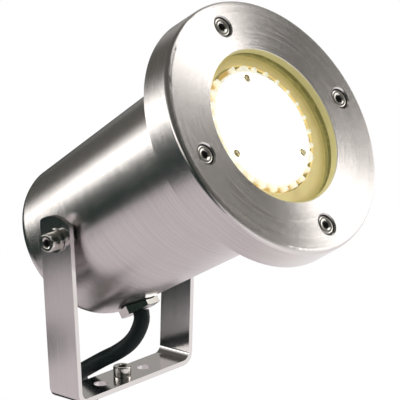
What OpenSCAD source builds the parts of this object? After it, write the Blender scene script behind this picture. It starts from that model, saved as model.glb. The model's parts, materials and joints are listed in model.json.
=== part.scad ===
// Underwater spotlight on a U bracket, for ponds and fountains.
// +Z is up. The origin is the centre of the underside of the bracket's base.
// The beam leaves toward -Y, tilted up by beam_tilt, and the tilt axis is along X.
// In the head's own axes x is across, y is up across the beam and z is along the beam,
// with zero at the tilt axis.

/* [Aim] */
// Angle of the beam above the horizontal
beam_tilt = 33; // [20:1:45]

/* [Mounting bracket] */
// Width of the strip that the bracket is bent from
strip_w = 15; // [12:0.5:22]
// Thickness of the strip
strip_t = 2; // [1.5:0.1:2.6]
// Inside width between the arms at the base
bracket_inside = 62; // [58:0.5:80]
// Outward lean of each arm in degrees
arm_lean = 2.9; // [0:0.1:5]
// Height of the tilt axis above the mounting surface
pivot_h = 65; // [60:0.5:90]
// Height of the arched arm tip above the tilt axis
arm_top = 9.5; // [8:0.5:14]
// Radius of the arch at the arm tip
arch_r = 11; // [9:0.5:16]
// Inner radius of the two bends
bend_r = 3; // [2:0.5:5]
// Diameter of the two mounting holes
mount_hole_d = 5.5; // [4.5:0.1:6]
// Distance between the two mounting holes
mount_spacing = 25; // [22:0.5:34]

/* [Housing] */
// Outer diameter of the can at its front end
can_front_d = 72.4; // [60:0.2:73]
// Outer diameter of the can at its rear end
can_rear_d = 61.4; // [54:0.2:64]
// Distance from the tilt axis back to the can's rear face
can_rear_reach = 24.5; // [20:0.5:34]
// Rounding of the can's rear edge
can_rear_round = 5; // [2:0.5:8]
// Wall of the can
can_wall = 1.5; // [1:0.1:2.5]

/* [Front ring] */
// Distance from the tilt axis to the back of the front ring
ring_reach = 76.5; // [70:0.5:90]
// Outer diameter of the front ring
ring_d = 100; // [98:0.5:120]
// Length of the front ring along the beam
ring_len = 14; // [13:0.5:18]
// Diameter of the light opening
opening_d = 60; // [54:0.5:62]
// Thickness of the ring's inner lip
lip_t = 3; // [2:0.5:5]
// Rounding of the ring's front edge
ring_round = 2; // [0.5:0.5:3]
// Radius of the circle that the face screws stand on
face_screw_r = 40.5; // [39.5:0.1:41]
// Turn of the face screws about the beam in degrees
face_screw_turn = 3.5; // [-20:0.5:20]

/* [Window] */
// Diameter of the front glass
glass_d = 68.4; // [65:0.2:69]
// Thickness of the front glass
glass_t = 3; // [2:0.5:4]
// Thickness of the gasket in front of the glass
front_gasket_t = 0.8; // [0.5:0.1:1.5]
// Thickness of the gasket behind the glass
rear_gasket_t = 1.5; // [1:0.1:2]
// Thickness of the plate round the lamp
lamp_plate_t = 1; // [0.8:0.1:1.5]
// Gap between the lamp and the edge of the plate's hole
plate_gap = 0.5; // [0.3:0.1:3]

/* [Lamp] */
// Diameter over the lamp's fins
lamp_d = 49.4; // [46:0.2:50]
// Length of the lamp without its pins
lamp_len = 40; // [36:0.5:46]
// Height of the lamp's axis above the beam axis
lamp_lift = 1.5; // [0:0.1:2]
// Diameter of the white cover on the lamp
cover_d = 43.6; // [40:0.2:44]
// Number of fins between two cover screws
fins_per_third = 8; // [5:1:9]
// Thickness of a fin
fin_t = 1.2; // [0.8:0.1:1.6]
// Spacing of the lamp's two pins
pin_spacing = 5.33; // [4:0.01:6.35]

/* [Cable gland] */
// Distance from the tilt axis back to the gland's axis
gland_back = 10.2; // [8:0.2:14]
// Distance from the beam axis to the gland's outer face
gland_reach = 34.4; // [33:0.1:38]
// Size of the gland's hexagon across flats
gland_af = 14; // [13.5:0.5:17]
// Diameter of the gland's thread
gland_thread_d = 12; // [11:0.5:12]
// Diameter of the cable
cable_d = 6.2; // [5:0.1:6.5]

/* [Fasteners] */
// Thread diameter of the socket cap screws
screw_d = 4; // [3:0.5:4]
// Head diameter of the socket cap screws
screw_head_d = 7; // [6:0.1:7.2]
// Clearance between a screw's shank and its hole, on the diameter
screw_play = 0.2; // [0.1:0.05:0.3]

/* [Hidden] */
$fn = 96;
fit = 0.1;

steel = [0.72, 0.70, 0.70];
bright_steel = [0.82, 0.81, 0.79];
rubber = [0.06, 0.07, 0.07];
cream = [0.88, 0.80, 0.52];
white = [0.95, 0.95, 0.93];

// Socket cap screw: head height equals the thread diameter, hexagon socket half as deep.
head_h = screw_d;
socket_af = screw_d * 0.75;
socket_deep = screw_d * 0.55;
head_chamfer = 0.4;
shank_r = screw_d / 2;
hole_r = (screw_d + screw_play) / 2;
thread_r = screw_d / 2 + 0.03;

// Bracket
arm_slope = tan(arm_lean);
base_half = bracket_inside / 2;
arm_long = pivot_h + arm_top;
function arm_inner(h) = base_half + (h - strip_t) * arm_slope;
arm_outer_t = strip_t / cos(arm_lean);

// Can
can_front_r = can_front_d / 2;
can_rear_r = can_rear_d / 2;
can_taper = (can_front_r - can_rear_r) / (ring_reach + can_rear_reach);
function can_r(s) = can_rear_r + (s + can_rear_reach) * can_taper;
function can_inner_r(s) = can_r(s) - can_wall;
socket_deep_s = 2;
can_front_s = ring_reach + socket_deep_s;

// Pivot
boss_r = 5;
pivot_gap = 0.15;
washer_r = 4.5;
washer_t = 0.8;
friction_r = 4.8;
boss_face = can_r(0) + 1.15;
friction_t = arm_inner(pivot_h - friction_r) - boss_face - pivot_gap;
washer_x = arm_inner(pivot_h + washer_r) + arm_outer_t + 0.02;
pivot_head_x = washer_x + washer_t;
boss_in = can_inner_r(0) - 6;
pivot_tip_x = boss_in + 2;

// Window stack, from the face of the ring backwards
ring_face = ring_reach + ring_len;
lip_back = ring_face - lip_t;
glass_front = lip_back - front_gasket_t;
glass_back = glass_front - glass_t;
plate_front = glass_back - rear_gasket_t;
plate_back = plate_front - lamp_plate_t;
flange_front = plate_front + 0.1;
ring_step = flange_front + 0.2;
pocket_r = glass_d / 2 + 0.6;
seat_r = glass_d / 2 + 0.3;
gasket_in_r = opening_d / 2 + 0.6;
flange_r = ring_d / 2 - 3.8;
skirt_r = flange_r + 0.3;
flange_bore_r = 31;
face_screw_seat = ring_face - 0.5 - head_h;
face_screw_tip = ring_reach + 1.5;
counterbore_r = screw_head_d / 2 + 0.5;
counterbore_chamfer = 0.5;

// Lamp
lamp_front = glass_back - 0.5;
lamp_r = lamp_d / 2;
lamp_rear = lamp_front - lamp_len;
plate_hole_r = lamp_r + plate_gap;
cover_r = cover_d / 2;
cover_t = 1.5;
core_r = cover_r + 0.1;
cavity_r = cover_r - 1.2;
board_r = cavity_r - fit;
board_t = 1.2;
board_back = lamp_front - cover_t - 3.4;
sink_rear = lamp_rear + 17;
base_seat_r = 9;
lamp_screw_r = cover_r - 2.1;
lamp_screw_turn = -12;
lamp_screw_head_r = 1.5;
lamp_screw_shank_r = 0.9;
pad_r = 2.6;
positions = 3 * (fins_per_third + 1);
chip_turn = 45;
pin_r = 0.75;
pin_len = 7;

// Lampholder and its strap
holder_w = 19;
holder_d = 10;
holder_len = 13;
holder_front = lamp_rear - 0.2;
holder_rear = holder_front - holder_len;
strap_t = 1.2;
strap_w = 14;
strap_tab = 9;
strap_front = holder_rear;
strap_rear = strap_front - strap_t;
strap_screw_x = 7;
strap_screw_r = 1.5;
strap_head_r = 2.7;
strap_head_t = 1.8;
lead_r = 1;
lead_x = 2.8;
lead_hole_r = lead_r + 0.15;

// Terminal block on the inner leads
block_w = 16;
block_d = 13;
block_len = 17;
block_front = holder_rear - 12;
block_rear = block_front - block_len;
block_bore_r = 1.6;
block_y = lamp_lift;
block_lead_x = 4;
block_screw_r = 1.4;
plug_in = 5;

// Gland, measured outward from the beam axis
gland_s = -gland_back;
gland_wall = can_inner_r(gland_s);
gland_lip = 1.4;
gland_gasket_t = 0.5;
gland_body_in = gland_wall - 9;
gland_cavity_r = 4.6;
gland_cavity_out = gland_reach - gland_lip;
gland_seal_in = gland_cavity_out - 5;
press_ring_in = gland_seal_in - 3.5;
gland_bore_r = cable_d / 2 + 0.15;
gland_turn = 51;
locknut_af = gland_thread_d + 3.5;
locknut_t = 3.5;
locknut_corner = locknut_af / cos(30) / 2;
locknut_out = sqrt(pow(can_inner_r(gland_s - locknut_corner), 2) - pow(locknut_corner, 2)) - 0.2;
sheath_in = gland_body_in - 4;
core_r_in = 1.1;
core_x = 1.35;

// Free cable: the points that it runs through, from the gland down behind the base to the coil.
exit_point = head_point(0, -gland_reach, gland_s);
ROUTE = [
  exit_point, [-0.9, -11.2, 26.8], [-2.3, -9.8, 21.5], [-2.8, -6, 16.7], [-3.5, -0.5, 12.4],
  [-5.3, 4, 9.6], [-6.6, 9, 6.3], [-7.8, 14, 2.9], [-6, 20, -0.5], [-1, 26, -3], [6, 31.5, -5.5],
  [14, 36.5, -8.5], [20.5, 41.5, -13], [27, 46, -20], [34.5, 49, -29], [42, 52, -38],
  [45.6, 57.5, -44.5], [46.8, 65, -48.6], [43.2, 76, -50.9]];
TAIL = [[43.2, 76, -44.7], [43.8, 90, -46], [46, 101, -49.2], [45.5, 112, -50.9], [42, 122, -50.9]];
ring_steps = 2;
tube_sides = 12;
coil_x = 3;
coil_y = 76;
coil_across = 3;
coil_layers = 2;
surface_z = -54;
coil_mid_r = ROUTE[len(ROUTE) - 1].x - coil_x - (coil_across - 1) / 2 * cable_d;
coil_half = coil_across * cable_d / 2;
tie_t = 1.2;
tie_w = 5;
tie_turn = 135;
core_end_r = 1.1;
core_end_long = 22;
ferrule_long = 8;
ferrule_r = 0.9;

// A point given in the head's axes, in the bracket's axes
function head_point(x, y, s) = [
  x,
  y * sin(beam_tilt) - s * cos(beam_tilt),
  pivot_h + y * cos(beam_tilt) + s * sin(beam_tilt)];

// Smooth curve through points, with n steps between neighbours
function spline(p, n) = [
  for (i = [0:len(p) - 2]) for (k = [0:n - 1])
    let (t = k / n, b = p[i], c = p[i + 1],
         a = i == 0 ? 2 * b - c : p[i - 1],
         d = i == len(p) - 2 ? 2 * c - b : p[i + 2])
    (2 * b + (c - a) * t + (2 * a - 5 * b + 4 * c - d) * t * t + (3 * b - a - 3 * c + d) * t * t * t) / 2,
  p[len(p) - 1]];
function unit(v) = v / norm(v);
function heading(p, i) = unit(p[min(i + 1, len(p) - 1)] - p[max(i - 1, 0)]);

// Tube of radius r along points, as one closed body; side is a direction it never runs along
module tube(points, r, sides, side, first = undef, last = undef) {
  n = len(points);
  rings = [
    for (i = [0:n - 1])
      let (t = i == 0 && !is_undef(first) ? first : i == n - 1 && !is_undef(last) ? last : heading(points, i),
           u = unit(cross(t, side)), v = cross(t, u))
      for (k = [0:sides - 1]) points[i] + r * (u * cos(360 * k / sides) + v * sin(360 * k / sides))];
  faces = concat(
    [[for (k = [0:sides - 1]) k]],
    [for (i = [0:n - 2]) for (k = [0:sides - 1]) let (m = (k + 1) % sides)
      [i * sides + k, (i + 1) * sides + k, (i + 1) * sides + m, i * sides + m]],
    [[for (k = [sides - 1:-1:0]) (n - 1) * sides + k]]);
  polyhedron(rings, faces, convexity = 10);
}

// Places its children in the head's axes
module head() {
  translate([0, 0, pivot_h]) rotate([90 - beam_tilt, 0, 0]) children();
}

// Solid of revolution about the beam between s0 and s1
module disc(r, s0, s1) {
  translate([0, 0, s0]) cylinder(r = r, h = s1 - s0);
}

module washer(r, bore, s0, s1) {
  difference() {
    disc(r, s0, s1);
    disc(bore, s0 - 1, s1 + 1);
  }
}

// Points its children's z axis along +X on the tilt axis, or along -X for side = -1
module on_pivot(side) {
  head() rotate([0, side * 90, 0]) children();
}

// Points its children's z axis outward along the gland's axis
module on_gland() {
  head() translate([0, 0, gland_s]) rotate([90, 0, 0]) children();
}

// The can's inner space, enlarged by grow, as seen from the gland's axis
module can_space_at_gland(grow) {
  rotate([-90, 0, 0]) translate([0, 0, -gland_s]) can_cone(grow);
}

module can_cone(grow) {
  translate([0, 0, -can_rear_reach])
    cylinder(r1 = can_rear_r + grow, r2 = can_front_r + grow, h = ring_reach + can_rear_reach);
}

// Socket cap screw with its head's underside at z = 0 and its shank toward -z
module cap_screw(shank_long) {
  head_r = screw_head_d / 2;
  difference() {
    union() {
      rotate_extrude() polygon([
        [0, 0], [head_r - head_chamfer / 2, 0], [head_r, head_chamfer / 2], [head_r, head_h - head_chamfer],
        [head_r - head_chamfer, head_h], [0, head_h]]);
      translate([0, 0, -shank_long]) cylinder(r = shank_r, h = shank_long + 0.5);
    }
    translate([0, 0, head_h - socket_deep]) cylinder(d = socket_af / cos(30), h = socket_deep + 1, $fn = 6);
    translate([0, 0, head_h - 0.3]) cylinder(r1 = socket_af / 2, r2 = socket_af / 2 + 0.5, h = 0.5);
  }
}

module hexagon(af, long) {
  cylinder(d = af / cos(30), h = long, $fn = 6);
}

// ---- Bracket ----

// Outline of the bent strip, drawn across the width of the object
module bracket_outline() {
  lean_shift = (arm_long - strip_t) * arm_slope;
  outer = base_half + arm_outer_t;
  outer_r = bend_r + strip_t;
  bend = tan((90 - arm_lean) / 2);
  foot_out = base_half - strip_t * arm_slope + arm_outer_t;
  foot_in = base_half;
  difference() {
    difference() {
      polygon([
        [-foot_out, 0], [foot_out, 0],
        [foot_out + arm_long * arm_slope, arm_long], [-foot_out - arm_long * arm_slope, arm_long]]);
      for (m = [-1, 1]) corner(m, foot_out, 0, outer_r, bend);
    }
    difference() {
      polygon([
        [-foot_in, strip_t], [foot_in, strip_t],
        [foot_in + lean_shift + arm_slope, arm_long + 1], [-foot_in - lean_shift - arm_slope, arm_long + 1]]);
      for (m = [-1, 1]) corner(m, foot_in, strip_t, bend_r, bend);
    }
  }
}

// What a rounding of radius r takes off the outline's corner at x, z
module corner(side, x, z, r, bend) {
  cut = r * bend;
  cx = x - cut;
  arm_x = x + cut * sin(arm_lean);
  difference() {
    polygon([
      [side * cx, z - 1], [side * (x + 2), z - 1], [side * (arm_x + 2), z + cut * cos(arm_lean)],
      [side * arm_x, z + cut * cos(arm_lean)], [side * cx, z + r]]);
    translate([side * cx, z + r]) circle(r = r);
  }
}

module bracket() {
  tip_w = 2 * arm_inner(arm_long) + 4 * strip_t;
  color(steel) difference() {
    intersection() {
      translate([0, strip_w / 2, 0]) rotate([90, 0, 0]) linear_extrude(strip_w) bracket_outline();
      union() {
        translate([-tip_w / 2, -strip_w, -1]) cube([tip_w, 2 * strip_w, arm_long - arch_r + 1]);
        translate([-tip_w / 2, 0, arm_long - arch_r]) rotate([0, 90, 0]) cylinder(r = arch_r, h = tip_w);
      }
    }
    for (m = [-1, 1]) translate([m * mount_spacing / 2, 0, -1]) cylinder(d = mount_hole_d, h = strip_t + 2);
    translate([0, 0, -1]) cylinder(r = thread_r, h = strip_t + 2);
    translate([-tip_w / 2, 0, pivot_h]) rotate([0, 90, 0]) cylinder(r = hole_r, h = tip_w);
  }
}

module base_screw() {
  color(bright_steel) translate([0, 0, strip_t]) cap_screw(strip_t);
}

// ---- Tilt pivot ----

module pivot_screws() {
  color(bright_steel) for (m = [-1, 1]) on_pivot(m) translate([0, 0, pivot_head_x]) rotate([0, 0, 20])
    cap_screw(pivot_head_x - pivot_tip_x - 0.5);
}

module pivot_washers() {
  color(bright_steel) for (m = [-1, 1]) on_pivot(m) washer(washer_r, hole_r, washer_x, pivot_head_x);
}

module friction_washers() {
  color(rubber) for (m = [-1, 1]) on_pivot(m) washer(friction_r, hole_r, boss_face, boss_face + friction_t);
}

module pivot_bosses() {
  color(steel) for (m = [-1, 1]) on_pivot(m) difference() {
    disc(boss_r, boss_in, boss_face);
    disc(thread_r, pivot_tip_x, boss_face + 1);
  }
}

// ---- Housing ----

module can() {
  rear_r = can_rear_r;
  round_r = can_rear_round;
  inner_round = max(can_rear_round - can_wall, 0.5);
  color(steel) head() difference() {
    rotate_extrude() {
      polygon([
        [0, -can_rear_reach], [rear_r - round_r, -can_rear_reach],
        [can_r(round_r - can_rear_reach), round_r - can_rear_reach],
        [can_front_r, ring_reach], [can_front_r, can_front_s], [0, can_front_s]]);
      translate([rear_r - round_r, round_r - can_rear_reach]) intersection() {
        circle(r = round_r);
        translate([0, -round_r]) square([round_r, round_r]);
      }
    }
    rotate_extrude() {
      polygon([
        [0, can_wall - can_rear_reach], [rear_r - can_wall - inner_round, can_wall - can_rear_reach],
        [can_inner_r(can_wall + inner_round - can_rear_reach), can_wall + inner_round - can_rear_reach],
        [can_front_r - can_wall, ring_reach], [can_front_r - can_wall, can_front_s + 1],
        [0, can_front_s + 1]]);
      translate([rear_r - can_wall - inner_round, can_wall + inner_round - can_rear_reach]) intersection() {
        circle(r = inner_round);
        translate([0, -inner_round]) square([inner_round, inner_round]);
      }
    }
    rotate([0, 90, 0]) translate([0, 0, -ring_d]) cylinder(r = boss_r, h = 2 * ring_d);
    translate([0, 0, gland_s]) rotate([90, 0, 0]) cylinder(d = gland_thread_d + fit, h = ring_d);
  }
}

module flange() {
  color(steel) head() difference() {
    disc(flange_r, ring_reach, flange_front);
    disc(flange_bore_r, ring_reach - 1, flange_front + 1);
    disc(can_front_r, ring_reach - 1, can_front_s);
    disc(seat_r, plate_back, flange_front + 1);
    at_face_screws() translate([0, 0, face_screw_tip - 0.5])
      cylinder(r = thread_r, h = flange_front);
  }
}

// Places its children at the four screws of the front ring
module at_face_screws() {
  for (k = [0:3]) rotate([0, 0, 90 * k + face_screw_turn]) translate([0, face_screw_r, 0]) children();
}

module front_ring() {
  r = ring_d / 2;
  bore = opening_d / 2;
  edge = 0.5;
  color(steel) head() difference() {
    rotate_extrude() {
      polygon([
        [skirt_r, ring_reach], [r - edge, ring_reach], [r, ring_reach + edge], [r, ring_face - ring_round],
        [r - ring_round, ring_face], [bore + edge, ring_face], [bore, ring_face - edge], [bore, lip_back],
        [pocket_r, lip_back], [pocket_r, ring_step], [skirt_r, ring_step]]);
      translate([r - ring_round, ring_face - ring_round]) intersection() {
        circle(r = ring_round);
        square(ring_round);
      }
    }
    at_face_screws() {
      disc(hole_r, ring_reach, ring_face);
      disc(counterbore_r, face_screw_seat, ring_face + 1);
      translate([0, 0, ring_face - counterbore_chamfer]) cylinder(
        r1 = counterbore_r, r2 = counterbore_r + 2 * counterbore_chamfer, h = 2 * counterbore_chamfer);
    }
  }
}

module face_screws() {
  color(bright_steel) head() at_face_screws() translate([0, 0, face_screw_seat])
    cap_screw(face_screw_seat - face_screw_tip);
}

// ---- Window ----

module front_gasket() {
  color(rubber) head() washer(seat_r - 0.8, gasket_in_r, glass_front, lip_back);
}

module glass() {
  color([0.85, 0.92, 0.92, 0.4]) head() disc(glass_d / 2, glass_back, glass_front);
}

module rear_gasket() {
  color(rubber) head() washer(seat_r - 0.3, gasket_in_r, plate_front, glass_back);
}

module lamp_plate() {
  color(cream) head() difference() {
    disc(seat_r - 0.1, plate_back, plate_front);
    translate([0, lamp_lift, 0]) disc(plate_hole_r, plate_back - 1, plate_front + 1);
  }
}

// ---- Lamp ----

// Places its children on the lamp's own axis
module lamp() {
  head() translate([0, lamp_lift, 0]) children();
}

// Repeats its children at the three screw positions of the lamp
module at_lamp_screws(r) {
  for (k = [0:2]) rotate([0, 0, lamp_screw_turn + 120 * k]) translate([0, r, 0]) children();
}

// Bowl of the reflector lamp, from its front edge back to its base
module bowl(front_r, rear_r, inset) {
  rotate_extrude() polygon([
    [0, sink_rear + inset], [rear_r, sink_rear + inset], [front_r * 0.62, sink_rear + 5],
    [front_r * 0.84, sink_rear + 11], [front_r, lamp_front - 7], [front_r, lamp_front - inset],
    [0, lamp_front - inset]]);
}

module lamp_heat_sink() {
  color([0.62, 0.62, 0.6]) lamp() difference() {
    union() {
      bowl(core_r + 0.9, base_seat_r + 1, 0);
      intersection() {
        bowl(lamp_r, base_seat_r + 3, 0);
        union() {
          for (k = [0:positions - 1]) if (k % (fins_per_third + 1) != 0)
            rotate([0, 0, lamp_screw_turn + 360 * k / positions]) translate([-fin_t / 2, 0, sink_rear])
              cube([fin_t, lamp_r + 1, lamp_len]);
          at_lamp_screws(lamp_r - pad_r) translate([0, 0, sink_rear]) cylinder(r = pad_r, h = lamp_len);
        }
      }
    }
    disc(core_r, lamp_front - cover_t, lamp_front + 1);
    disc(cavity_r, board_back, lamp_front);
    at_lamp_screws(lamp_screw_r) disc(lamp_screw_shank_r + 0.03, lamp_front - cover_t - 4.4, lamp_front);
    disc(base_seat_r, sink_rear - 1, sink_rear + 4);
  }
}

module lamp_cover() {
  color(white) lamp() difference() {
    disc(cover_r, lamp_front - cover_t, lamp_front);
    at_lamp_screws(lamp_screw_r) {
      disc(lamp_screw_shank_r + 0.1, lamp_front - cover_t - 1, lamp_front + 1);
      disc(lamp_screw_head_r + 0.1, lamp_front - 0.8, lamp_front + 1);
    }
  }
}

module lamp_board() {
  color(white) lamp() difference() {
    disc(board_r, board_back, board_back + board_t);
    at_lamp_screws(lamp_screw_r) disc(pad_r, board_back - 1, board_back + board_t + 1);
  }
}

module lamp_chips() {
  color([0.95, 0.85, 0.4]) lamp() for (k = [0:2]) rotate([0, 0, chip_turn + 120 * k])
    translate([-2.5, board_r * 0.45 - 2.5, board_back + board_t]) cube([5, 5, 0.8]);
}

module lamp_screws() {
  color([0.3, 0.3, 0.3]) lamp() at_lamp_screws(lamp_screw_r) difference() {
    union() {
      disc(lamp_screw_head_r, lamp_front - 0.8, lamp_front + 0.1);
      disc(lamp_screw_shank_r, lamp_front - cover_t - 4, lamp_front - 0.8);
    }
    translate([-lamp_screw_head_r, -0.2, lamp_front - 0.3]) cube([2 * lamp_screw_head_r, 0.4, 1]);
  }
}

module lamp_base() {
  color(white) lamp() difference() {
    union() {
      disc(base_seat_r - 0.05, sink_rear - 0.5, sink_rear + 4);
      translate([0, 0, lamp_rear + 8])
        cylinder(r1 = 8.4, r2 = base_seat_r + 2, h = sink_rear - lamp_rear - 8);
      translate([-8, -3.6, lamp_rear]) cube([16, 7.2, 10]);
    }
    for (m = [-1, 1]) translate([m * pin_spacing / 2, 0, 0]) disc(pin_r, lamp_rear - 1, lamp_rear + 5);
  }
}

module lamp_pins() {
  color(bright_steel) lamp() for (m = [-1, 1]) translate([m * pin_spacing / 2, 0, 0])
    disc(pin_r, lamp_rear - pin_len, lamp_rear + 5);
}

// ---- Lampholder, strap, inner wiring ----

module lampholder() {
  color([0.9, 0.88, 0.82]) lamp() difference() {
    translate([-holder_w / 2, -holder_d / 2, holder_rear]) cube([holder_w, holder_d, holder_len]);
    for (m = [-1, 1]) {
      translate([m * pin_spacing / 2, 0, 0])
        disc(pin_r + 0.1, holder_front - pin_len - 0.5, holder_front + 1);
      translate([m * lead_x, 0, 0]) disc(lead_hole_r, holder_rear - 1, holder_rear + plug_in);
      translate([m * strap_screw_x, 0, 0]) disc(strap_screw_r + 0.03, holder_rear - 1, holder_rear + 7);
    }
  }
}

module holder_strap() {
  inner = can_inner_r(strap_rear - strap_tab) - fit;
  color(bright_steel) difference() {
    union() {
      intersection() {
        head() translate([-can_front_r, lamp_lift - strap_w / 2, strap_rear])
          cube([2 * can_front_r, strap_w, strap_t]);
        head() can_cone(-can_wall - fit);
      }
      difference() {
        intersection() {
          head() translate([-can_front_r, lamp_lift - strap_w / 2, strap_rear - strap_tab])
            cube([2 * can_front_r, strap_w, strap_tab + strap_t]);
          head() can_cone(-can_wall - fit);
        }
        head() can_cone(-can_wall - fit - strap_t);
      }
    }
    lamp() for (m = [-1, 1]) {
      translate([m * strap_screw_x, 0, 0]) disc(strap_screw_r + 0.1, strap_rear - 1, strap_front + 1);
      translate([m * lead_x, 0, 0]) disc(lead_r + 0.4, strap_rear - 1, strap_front + 1);
    }
  }
}

module strap_screws() {
  color(bright_steel) lamp() for (m = [-1, 1]) translate([m * strap_screw_x, 0, 0]) difference() {
    union() {
      disc(strap_head_r, strap_rear - strap_head_t, strap_rear);
      disc(strap_screw_r, strap_rear - 0.1, holder_rear + 6);
    }
    translate([-strap_head_r, -0.4, strap_rear - strap_head_t - 0.5]) cube([2 * strap_head_r, 0.8, 1.3]);
  }
}

module terminal_block() {
  color([0.9, 0.9, 0.86]) head() translate([0, block_y, 0]) difference() {
    translate([-block_w / 2, -block_d / 2, block_rear]) cube([block_w, block_d, block_len]);
    for (m = [-1, 1]) translate([m * block_lead_x, 0, 0]) {
      disc(block_bore_r, block_rear - 1, block_front + 1);
      for (s = [block_rear + 4, block_front - 4]) translate([0, 0, s]) rotate([-90, 0, 0])
        cylinder(r = block_screw_r + 0.05, h = block_d);
    }
    translate([-1, 0, block_rear - 1]) cube([2, block_d, block_len + 2]);
  }
}

module terminal_screws() {
  color(bright_steel) head() translate([0, block_y, 0])
    for (m = [-1, 1]) for (s = [block_rear + 4, block_front - 4])
      translate([m * block_lead_x, 0, s]) rotate([-90, 0, 0]) difference() {
        translate([0, 0, lead_r + 0.2]) cylinder(r = block_screw_r, h = 4);
        translate([-block_screw_r, -0.25, lead_r + 3.6]) cube([2 * block_screw_r, 0.5, 1]);
      }
}

module lamp_leads() {
  mid = (holder_rear + block_front) / 2;
  color(white) head() for (m = [-1, 1])
    tube(spline([
      [m * lead_x, lamp_lift, holder_rear + plug_in - 1], [m * lead_x, lamp_lift, holder_rear - 2],
      [m * (lead_x + block_lead_x) / 2, lamp_lift, mid],
      [m * block_lead_x, block_y, block_front + 2], [m * block_lead_x, block_y, block_front - plug_in]],
      ring_steps),
      lead_r, 8, [0, 1, 0], [0, 0, -1], [0, 0, -1]);
}

module cable_core_leads() {
  bend_s = block_rear - 9;
  color([0.35, 0.2, 0.1]) head() for (m = [-1, 1])
    tube(spline([
      [m * core_x, -sheath_in, gland_s], [m * core_x, -sheath_in + 4, gland_s],
      [m * 2.4, block_y - 8, max(gland_s, bend_s) - 1.5], [m * 3.6, block_y - 1.5, block_rear - 4.5],
      [m * block_lead_x, block_y, block_rear + 0.5], [m * block_lead_x, block_y, block_rear + plug_in]],
      ring_steps),
      core_r_in, 8, [1, 0, 0], [0, 1, 0], [0, 0, 1]);
}

// ---- Cable gland: a hexagon outside on a threaded shank, held by a locknut inside ----

module gland_body() {
  chamfer = 0.8;
  color(bright_steel) on_gland() difference() {
    union() {
      difference() {
        intersection() {
          rotate([0, 0, gland_turn]) translate([0, 0, gland_wall - 4])
            hexagon(gland_af, gland_reach - gland_wall + 4);
          rotate_extrude() polygon([
            [0, gland_wall - 5], [gland_af, gland_wall - 5], [gland_af, gland_reach - chamfer - 0.6],
            [gland_af / 2 + 0.2, gland_reach], [0, gland_reach]]);
        }
        can_space_at_gland(gland_gasket_t);
      }
      disc(gland_thread_d / 2, gland_body_in, gland_reach - 0.5);
    }
    disc(gland_bore_r, gland_body_in - 1, gland_reach + 1);
    disc(gland_cavity_r, gland_body_in - 1, gland_cavity_out);
  }
}

module gland_seal() {
  color(rubber) on_gland() washer(gland_cavity_r - 0.05, cable_d / 2, gland_seal_in, gland_cavity_out);
}

module gland_press_ring() {
  color(bright_steel) on_gland() washer(gland_cavity_r - 0.05, gland_bore_r, press_ring_in, gland_seal_in);
}

// Gasket between the hexagon and the can, shaped to the can
module gland_washer() {
  color(rubber) on_gland() difference() {
    intersection() {
      disc(gland_af / 2 - 0.2, gland_wall - 4, gland_reach);
      can_space_at_gland(gland_gasket_t - 0.02);
    }
    disc(gland_thread_d / 2 + 0.05, gland_wall - 5, gland_reach + 1);
    can_space_at_gland(0.02);
  }
}

module gland_inner_washer() {
  color(rubber) on_gland() difference() {
    intersection() {
      disc(locknut_af / 2, locknut_out, gland_wall + 1);
      can_space_at_gland(-can_wall - 0.02);
    }
    disc(gland_thread_d / 2 + 0.05, locknut_out - 1, gland_wall + 2);
  }
}

module gland_locknut() {
  color(bright_steel) on_gland() difference() {
    translate([0, 0, locknut_out - locknut_t]) hexagon(locknut_af, locknut_t);
    disc(gland_thread_d / 2 + 0.05, locknut_out - locknut_t - 1, locknut_out + 1);
  }
}

module cable_inside() {
  color(rubber) on_gland() disc(cable_d / 2, sheath_in, gland_reach);
}

// ---- Free cable ----

module cable() {
  color(rubber) {
    tube(
      spline(ROUTE, ring_steps), cable_d / 2, tube_sides, [1, 0, 0.3], [0, -sin(beam_tilt), -cos(beam_tilt)]);
    tube(spline(TAIL, ring_steps), cable_d / 2, tube_sides, [1, 0, 0.3]);
  }
}

module cable_coil() {
  round_r = cable_d / 2;
  high = coil_layers * cable_d;
  color(rubber) translate([coil_x, coil_y, surface_z]) rotate_extrude() translate([coil_mid_r, 0]) {
    translate([-coil_half + round_r, 0]) square([2 * (coil_half - round_r), high]);
    translate([-coil_half, round_r]) square([2 * coil_half, high - 2 * round_r]);
    for (x = [-1, 1]) for (z = [round_r, high - round_r])
      translate([x * (coil_half - round_r), z]) circle(r = round_r);
  }
}

// Band round the coil at its far side
module cable_tie() {
  gap = 0.2;
  high = coil_layers * cable_d;
  color([0.12, 0.12, 0.12]) translate([coil_x, coil_y, surface_z]) rotate([0, 0, tie_turn])
    translate([coil_mid_r, -tie_w / 2, 0]) difference() {
      translate([-coil_half - gap - tie_t, 0, -gap - tie_t])
        cube([2 * (coil_half + gap + tie_t), tie_w, high + 2 * (gap + tie_t)]);
      translate([-coil_half - gap, -1, -gap]) cube([2 * (coil_half + gap), tie_w + 2, high + 2 * gap]);
    }
}

// The two cores that come out of the cable's free end
module at_cable_end() {
  end = TAIL[len(TAIL) - 1];
  along = unit(end - TAIL[len(TAIL) - 2]);
  translate(end) rotate([0, 0, atan2(along.y, along.x)]) rotate([0, 90, 0]) children();
}

module cable_cores() {
  color([0.35, 0.2, 0.1]) at_cable_end() for (m = [-1, 1]) translate([0, m * core_x, 0])
    rotate([-m * 5, 0, 0]) cylinder(r = core_end_r, h = core_end_long);
}

module cable_ferrules() {
  color(bright_steel) at_cable_end() for (m = [-1, 1]) translate([0, m * core_x, 0])
    rotate([-m * 5, 0, 0]) translate([0, 0, core_end_long]) cylinder(r = ferrule_r, h = ferrule_long);
}

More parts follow.
